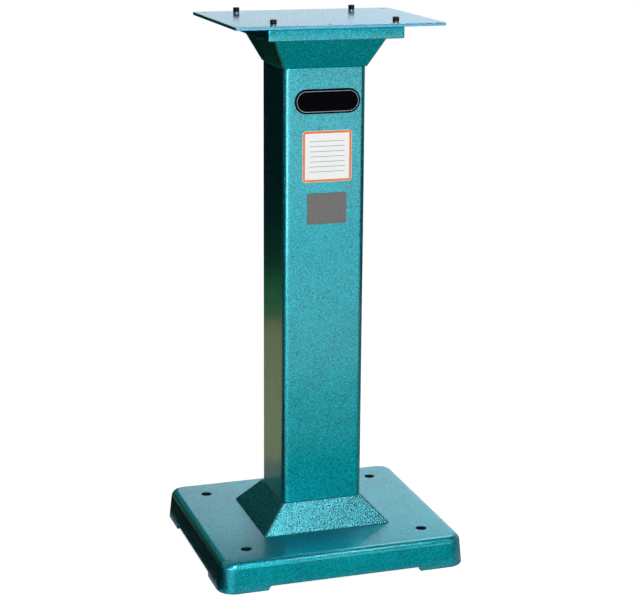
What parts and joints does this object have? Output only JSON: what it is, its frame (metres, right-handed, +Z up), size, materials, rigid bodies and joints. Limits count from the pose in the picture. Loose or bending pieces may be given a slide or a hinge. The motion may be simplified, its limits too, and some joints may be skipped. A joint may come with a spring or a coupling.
{
  "type": "bench grinder stand",
  "caption": "Floor pedestal for a bench grinder: hollow cast base on corner feet, pyramid shoe, rectangular tube column, flared collar and flat mounting plate.",
  "frame": {"origin": "on the floor, on the axis of the column, which is the middle of the base", "axes": "+Z up along the column, -Y towards the front with the nameplate, +X to the right seen from the front"},
  "size_m": [0.389, 0.348, 0.8276],
  "materials": {
    "hammered_paint": "gloss hammered enamel, blue-green",
    "plate_paint": "gloss hammered enamel, blue-green",
    "black_oxide": "black oxide",
    "zinc_steel": "zinc plated",
    "black_enamel": "black enamel with a bare silver line",
    "white_vinyl": "white vinyl with an orange border",
    "brushed_foil": "brushed"
  },
  "bodies": {
    "root": {"base_casting": "hammered_paint", "column_shoe": "hammered_paint", "column_tube": "hammered_paint", "flare_collar": "hammered_paint", "top_flange": "hammered_paint", "mounting_plate": "plate_paint", "plate_screw_front_left": "black_oxide", "plate_screw_front_right": "black_oxide", "plate_screw_back_left": "black_oxide", "plate_screw_back_right": "black_oxide", "screw_washer_front_left": "zinc_steel", "screw_washer_front_right": "zinc_steel", "screw_washer_back_left": "zinc_steel", "screw_washer_back_right": "zinc_steel", "tie_rod": "zinc_steel", "lower_tie_nut": "zinc_steel", "lower_lock_washer": "zinc_steel", "lower_flat_washer": "zinc_steel", "upper_tie_nut": "zinc_steel", "upper_lock_washer": "zinc_steel", "upper_flat_washer": "zinc_steel", "nameplate": "black_enamel", "white_label": "white_vinyl", "foil_plate": "brushed_foil"}
  },
  "joints": []
}
